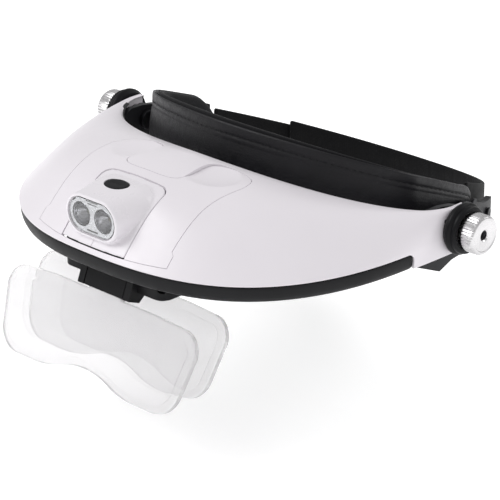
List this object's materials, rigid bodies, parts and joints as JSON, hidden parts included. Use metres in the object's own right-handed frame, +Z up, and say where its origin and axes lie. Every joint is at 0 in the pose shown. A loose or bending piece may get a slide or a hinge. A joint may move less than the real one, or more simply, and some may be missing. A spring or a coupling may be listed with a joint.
{
  "type": "head visor magnifier",
  "caption": "Head-worn magnifying visor: padded headband, white brim that tilts on side pivots, pull-off lamp and battery module, hinged lamp, and clear lens plates that plug in below.",
  "frame": {"origin": "midpoint of the visor's tilt axis, which is the middle of the wearer's head between the two side pivots", "axes": "+X to the wearer's left along the tilt axis, -Y to the front where the lamp and lenses are, +Z up"},
  "size_m": [0.2224, 0.2217, 0.0932],
  "materials": {
    "white_shell": "smooth moulded, satin gloss",
    "white_lamp": "smooth moulded, satin gloss",
    "trim": "fine moulded texture",
    "liner": "matt",
    "black_plastic": "fine moulded texture",
    "bracket_grey": "satin",
    "band_plastic": "satin",
    "foam": "soft foam with a cloth face",
    "leatherette": "soft grained leatherette",
    "webbing": "fine woven webbing",
    "hook_pile": "hook and loop",
    "steel": "turned and plated",
    "knob": "turned, knurled",
    "cell": "printed sleeve without lettering",
    "contact": "nickel plated",
    "bezel": "metallic plastic",
    "lamp_window": "clear",
    "reflector": "mirror plated",
    "led": "domed, unlit",
    "circuit_board": "lacquered board",
    "button": "soft touch",
    "lens": "clear acrylic with polished faces"
  },
  "bodies": {
    "headband": {"headband_frame": "band_plastic", "forehead_pad": "foam", "pad_cover": "leatherette", "side_bracket_left": "bracket_grey", "side_bracket_right": "bracket_grey", "pivot_stud_left": "steel", "pivot_stud_right": "steel", "friction_washer_left": "black_plastic", "friction_washer_right": "black_plastic", "strap_left": "webbing", "strap_right": "webbing", "hook_patch": "hook_pile", "band_rivets_left": "steel", "band_rivets_right": "steel"},
    "visor": {"visor_shell": "white_shell", "inner_liner": "liner", "rim_bumper": "trim", "pivot_cup_left": "black_plastic", "pivot_cup_right": "black_plastic", "cup_rivets_left": "steel", "cup_rivets_right": "steel", "lens_bracket": "trim", "bracket_screws": "steel", "lens_hinge_pin": "steel"},
    "knob_left": {"thumb_knob_left": "knob"},
    "knob_right": {"thumb_knob_right": "knob"},
    "lamp_module": {"module_cover": "white_shell", "battery_tray": "black_plastic", "tray_screws": "steel", "battery_cell_1": "cell", "battery_cell_2": "cell", "battery_cell_3": "cell", "contact_springs": "contact", "contact_plates": "contact", "lamp_hinge_pin": "steel"},
    "battery_lid": {"battery_lid": "black_plastic"},
    "lamp": {"lamp_housing": "white_lamp", "lamp_bezel": "bezel", "lamp_window": "lamp_window", "reflectors": "reflector", "leds": "led", "led_board": "circuit_board", "switch_board": "circuit_board", "switch_body": "black_plastic"},
    "switch_button": {"switch_button": "button"},
    "lens_holder": {"front_lens_holder": "trim"},
    "front_lens": {"front_lens": "lens"},
    "rear_lens": {"rear_lens": "lens"}
  },
  "joints": [
    {"name": "visor_tilt", "type": "hinge", "parent": "headband", "child": "visor", "pos_m": [0, 0, 0], "axis": [-1, 0, 0], "range_deg": [-4, 60]},
    {"name": "knob_left_turn", "type": "hinge", "parent": "headband", "child": "knob_left", "pos_m": [0.107, 0, 0], "axis": [1, 0, 0], "range_deg": [0, 270]},
    {"name": "knob_right_turn", "type": "hinge", "parent": "headband", "child": "knob_right", "pos_m": [-0.107, 0, 0], "axis": [-1, 0, 0], "range_deg": [0, 270]},
    {"name": "module_slide", "type": "slide", "parent": "visor", "child": "lamp_module", "axis": [0, -1, 0], "range_m": [0, 0.063]},
    {"name": "lid_drop", "type": "slide", "parent": "lamp_module", "child": "battery_lid", "axis": [0, 0, -1], "range_m": [0, 0.0105]},
    {"name": "lamp_tilt", "type": "hinge", "parent": "lamp_module", "child": "lamp", "pos_m": [0, -0.1116, -0.0011], "axis": [1, 0, 0], "range_deg": [0, 30]},
    {"name": "button_press", "type": "slide", "parent": "lamp", "child": "switch_button", "axis": [0, 0.1028, -0.9947], "range_m": [0, 0.0008], "stiffness_N_per_m": 350},
    {"name": "lens_flip", "type": "hinge", "parent": "visor", "child": "lens_holder", "pos_m": [0, -0.1018, -0.0176], "axis": [-1, 0, 0], "range_deg": [0, 55]},
    {"name": "front_lens_pull", "type": "slide", "parent": "lens_holder", "child": "front_lens", "axis": [0, -0.3665, -0.9304], "range_m": [0, 0.012]},
    {"name": "rear_lens_pull", "type": "slide", "parent": "visor", "child": "rear_lens", "axis": [0, -0.3665, -0.9304], "range_m": [0, 0.012]}
  ]
}
